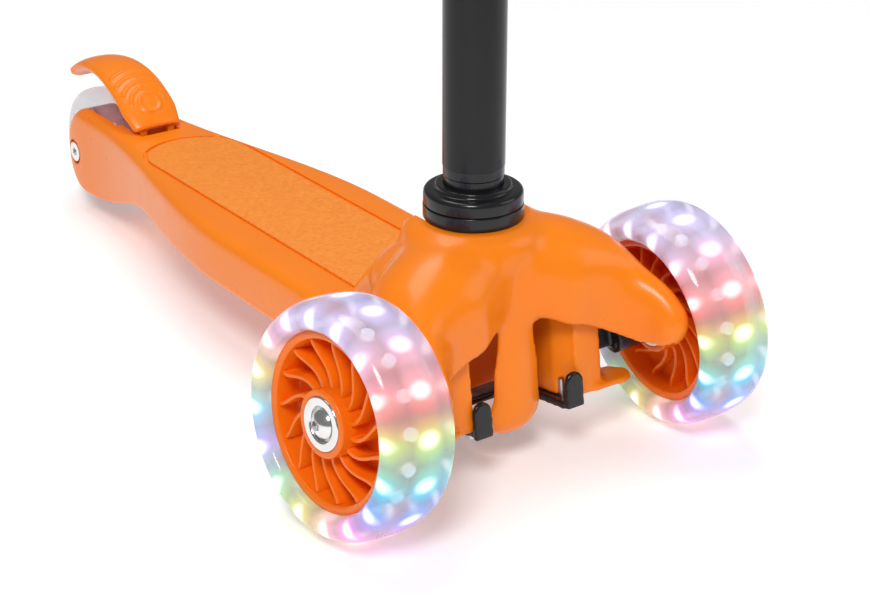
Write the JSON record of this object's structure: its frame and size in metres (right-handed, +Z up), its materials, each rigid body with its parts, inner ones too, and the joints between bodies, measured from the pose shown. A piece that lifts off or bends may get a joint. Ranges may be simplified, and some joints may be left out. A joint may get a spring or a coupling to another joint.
{
  "type": "kick scooter",
  "caption": "Child's kick scooter with light-up front wheels that steer by leaning, a moulded grip deck, a foot brake over the rear wheel and a height-adjustable T-bar.",
  "frame": {"origin": "on the ground, under the middle of the overall length and width", "axes": "+Z up, +X towards the rider's left, -Y the way the rider faces"},
  "size_m": [0.2588, 0.5591, 0.659],
  "materials": {
    "orange_plastic": "smooth moulded plastic",
    "housing_plastic": "moulded plastic",
    "rim_plastic": "smooth moulded plastic",
    "rear_rim_plastic": "smooth moulded plastic",
    "black_plastic": "smooth moulded plastic",
    "bush_plastic": "natural nylon",
    "steel": "zinc plated",
    "bright_steel": "polished",
    "stem_paint": "gloss black paint",
    "grip_rubber": "matt ribbed",
    "clear_tyre": "clear polyurethane",
    "light": "clear lens over a light"
  },
  "bodies": {
    "frame": {"deck": "orange_plastic", "deck_screws": "steel", "front_cover": "orange_plastic", "steering_housing": "housing_plastic", "skid_plate": "black_plastic", "skid_plate_screws": "steel", "kingpins": "steel", "centring_springs": "steel", "stem_socket": "black_plastic", "socket_screws": "steel", "collar_cap": "black_plastic", "stem_insert": "black_plastic", "stem_bolt": "steel", "lower_tube": "stem_paint", "clamp_body": "black_plastic", "clamp_rod": "steel", "clamp_nut": "steel", "rear_spacer": "steel", "rear_axle_bolt": "steel", "rear_axle_nut": "steel", "brake_pin": "steel", "brake_spring": "steel"},
    "left_knuckle": {"knuckle_left": "black_plastic", "bushes_left": "bush_plastic", "tie_pin_left": "steel", "front_axle_left": "bright_steel", "front_spacer_left": "steel"},
    "left_wheel": {"front_tyre_left": "clear_tyre", "front_rim_left": "rim_plastic", "front_lights_left": "light", "front_bearings_left": "steel", "front_trims_left": "bright_steel"},
    "right_knuckle": {"knuckle_right": "black_plastic", "bushes_right": "bush_plastic", "tie_pin_right": "steel", "front_axle_right": "bright_steel", "front_spacer_right": "steel"},
    "right_wheel": {"front_tyre_right": "clear_tyre", "front_rim_right": "rim_plastic", "front_lights_right": "light", "front_bearings_right": "steel", "front_trims_right": "bright_steel"},
    "rear_wheel": {"rear_tyre": "clear_tyre", "rear_rim": "rear_rim_plastic", "rear_bearings": "steel"},
    "tie_bar": {"tie_bar": "black_plastic"},
    "clamp_lever": {"clamp_lever": "black_plastic"},
    "handlebar": {"upper_tube": "stem_paint", "glide_bush": "black_plastic", "tee_joint": "black_plastic", "handlebar": "stem_paint", "grip_left": "grip_rubber", "grip_right": "grip_rubber", "bar_end_left": "orange_plastic", "bar_end_right": "orange_plastic"},
    "foot_brake": {"foot_brake": "orange_plastic"}
  },
  "joints": [
    {"name": "left_steer", "type": "hinge", "parent": "frame", "child": "left_knuckle", "pos_m": [0.044, -0.2095, 0.06015], "axis": [0, 0.1392, 0.9903], "range_deg": [-6, 6], "stiffness_Nm_per_rad": 4},
    {"name": "right_steer", "type": "hinge", "parent": "frame", "child": "right_knuckle", "pos_m": [-0.044, -0.2095, 0.06015], "axis": [0, 0.1392, 0.9903], "range_deg": [-6, 6]},
    {"name": "tie_bar_slide", "type": "slide", "parent": "frame", "child": "tie_bar", "axis": [1, 0, 0], "range_m": [-0.0029, 0.0029], "deforming": ["centring_springs"]},
    {"name": "left_wheel_spin", "type": "hinge", "parent": "left_knuckle", "child": "left_wheel", "pos_m": [0.103, -0.2195, 0.06015], "axis": [0.993, -0.0694, 0.0958], "continuous": true},
    {"name": "right_wheel_spin", "type": "hinge", "parent": "right_knuckle", "child": "right_wheel", "pos_m": [-0.103, -0.2195, 0.06015], "axis": [-0.993, -0.0694, 0.0958], "continuous": true},
    {"name": "rear_wheel_spin", "type": "hinge", "parent": "frame", "child": "rear_wheel", "pos_m": [0, 0.2395, 0.04], "axis": [1, 0, 0], "continuous": true},
    {"name": "brake_press", "type": "hinge", "parent": "frame", "child": "foot_brake", "pos_m": [0, 0.1705, 0.061], "axis": [-1, 0, 0], "range_deg": [0, 8.5], "stiffness_Nm_per_rad": 1, "springref_deg": -14.32},
    {"name": "clamp_release", "type": "hinge", "parent": "frame", "child": "clamp_lever", "pos_m": [0.0196, -0.152, 0.412], "axis": [0, 0, 1], "range_deg": [0, 95]},
    {"name": "bar_height", "type": "slide", "parent": "frame", "child": "handlebar", "axis": [0, 0, 1], "range_m": [0, 0.12]}
  ],
  "couplings": [
    {"joint": "right_steer", "follows": "left_steer", "ratio": 1},
    {"joint": "tie_bar_slide", "follows": "left_steer", "m_per_rad": -0.027}
  ]
}
